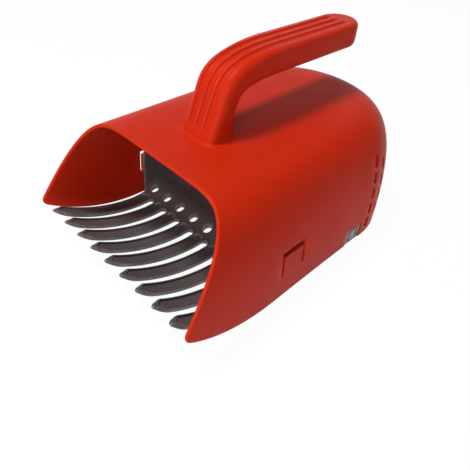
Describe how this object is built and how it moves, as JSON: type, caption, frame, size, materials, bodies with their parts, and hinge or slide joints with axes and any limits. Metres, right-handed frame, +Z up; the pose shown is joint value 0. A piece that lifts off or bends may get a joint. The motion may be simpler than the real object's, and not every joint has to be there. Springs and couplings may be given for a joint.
{
  "type": "berry picking rake",
  "caption": "Hand-held berry picking rake: curved pointed comb, collecting tray, arched hood that clips over the tray with an open ended handle on top.",
  "frame": {"origin": "centre of the bounding box on the ground, under the bottom rims of the hood and the tray", "axes": "+Z up, +Y towards the closed rear so that the mouth and the tine tips face -Y, +X to the right seen from behind the handle's post looking at the rear"},
  "size_m": [0.148, 0.2272, 0.1272],
  "materials": {
    "hood_plastic": "moulded, satin red",
    "comb_plastic": "moulded, satin dark grey"
  },
  "bodies": {
    "tray": {"comb_tray": "comb_plastic"},
    "hood": {"hood_shell": "hood_plastic", "handle": "hood_plastic"},
    "hood_tab_right": {"hood_tab_right": "hood_plastic"},
    "hood_tab_left": {"hood_tab_left": "hood_plastic"},
    "tray_tongue_right": {"tray_tongue_right": "comb_plastic"},
    "tray_tongue_left": {"tray_tongue_left": "comb_plastic"}
  },
  "joints": [
    {"name": "hood_lift", "type": "slide", "parent": "tray", "child": "hood", "axis": [0, 0, 1], "range_m": [0, 0.05]},
    {"name": "hood_tab_right_flex", "type": "hinge", "parent": "hood", "child": "hood_tab_right", "pos_m": [0.0704, -0.0284, 0.0192], "axis": [0, 1, 0], "range_deg": [0, 10], "stiffness_Nm_per_rad": 2.5},
    {"name": "hood_tab_left_flex", "type": "hinge", "parent": "hood", "child": "hood_tab_left", "pos_m": [-0.0704, -0.0284, 0.0192], "axis": [0, -1, 0], "range_deg": [0, 10], "stiffness_Nm_per_rad": 2.5},
    {"name": "tray_tongue_right_flex", "type": "hinge", "parent": "tray", "child": "tray_tongue_right", "pos_m": [0.0694, 0.0409, 0.0022], "axis": [0, -1, 0], "range_deg": [0, 10], "stiffness_Nm_per_rad": 0.9},
    {"name": "tray_tongue_left_flex", "type": "hinge", "parent": "tray", "child": "tray_tongue_left", "pos_m": [-0.0694, 0.0409, 0.0022], "axis": [0, 1, 0], "range_deg": [0, 10], "stiffness_Nm_per_rad": 0.9}
  ]
}
